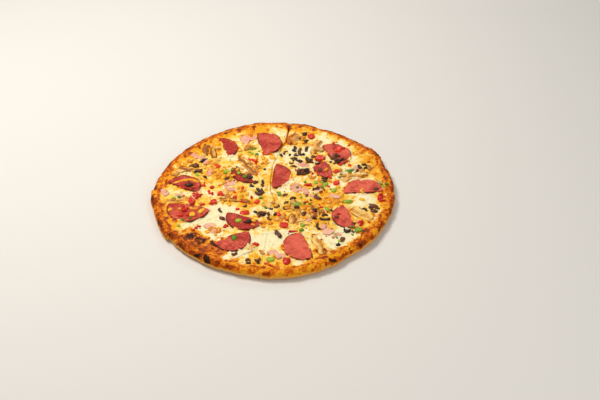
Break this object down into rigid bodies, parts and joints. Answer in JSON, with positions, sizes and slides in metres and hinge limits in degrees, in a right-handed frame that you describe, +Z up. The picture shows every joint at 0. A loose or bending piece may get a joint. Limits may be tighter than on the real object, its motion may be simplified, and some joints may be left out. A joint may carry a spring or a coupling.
{
  "type": "pan pizza",
  "caption": "Round pan pizza cut into slices, with a browned rim, melted cheese, salami, ham, mushroom strips, olives, corn and pepper cuts.",
  "frame": {"origin": "middle of the round outline, on the surface that the pizza rests on", "axes": "+Z up through the pizza, +Y away from the viewer, +X to the viewer's right"},
  "size_m": [0.3148, 0.3154, 0.0148],
  "materials": {
    "dough": "baked dough, pale at the side and browned on the rim",
    "cheese": "melted cheese, cream to golden, slightly oily",
    "salami": "cured meat with a darker edge",
    "ham": "moist cooked meat",
    "mushroom": "browned and fibrous",
    "red_pepper": "moist skin",
    "green_pepper": "moist skin",
    "olive": "moist, nearly black"
  },
  "bodies": {
    "root": {"crust_slice_1": "dough", "crust_slice_2": "dough", "crust_slice_3": "dough", "crust_slice_4": "dough", "crust_slice_5": "dough", "crust_slice_6": "dough", "crust_slice_7": "dough", "crust_slice_8": "dough", "cheese_slice_1": "cheese", "cheese_slice_2": "cheese", "cheese_slice_3": "cheese", "cheese_slice_4": "cheese", "cheese_slice_5": "cheese", "cheese_slice_6": "cheese", "cheese_slice_7": "cheese", "cheese_slice_8": "cheese", "salami_1": "salami", "salami_2": "salami", "salami_3": "salami", "salami_4": "salami", "salami_5": "salami", "salami_6": "salami", "salami_7": "salami", "salami_8": "salami", "salami_9": "salami", "salami_10": "salami", "salami_11": "salami", "salami_12": "salami", "salami_13": "salami", "ham_1": "ham", "ham_2": "ham", "ham_3": "ham", "ham_4": "ham", "ham_5": "ham", "ham_6": "ham", "ham_7": "ham", "ham_8": "ham", "ham_9": "ham", "mushroom_1": "mushroom", "mushroom_2": "mushroom", "mushroom_3": "mushroom", "mushroom_4": "mushroom", "mushroom_5": "mushroom", "mushroom_6": "mushroom", "mushroom_7": "mushroom", "mushroom_8": "mushroom", "mushroom_9": "mushroom", "mushroom_10": "mushroom", "mushroom_11": "mushroom", "mushroom_12": "mushroom", "mushroom_13": "mushroom", "red_pepper_1": "red_pepper", "red_pepper_2": "red_pepper", "red_pepper_3": "red_pepper", "red_pepper_4": "red_pepper", "red_pepper_5": "red_pepper", "green_pepper_1": "green_pepper", "green_pepper_2": "green_pepper", "olives_1": "olive", "olives_2": "olive"}
  },
  "joints": []
}
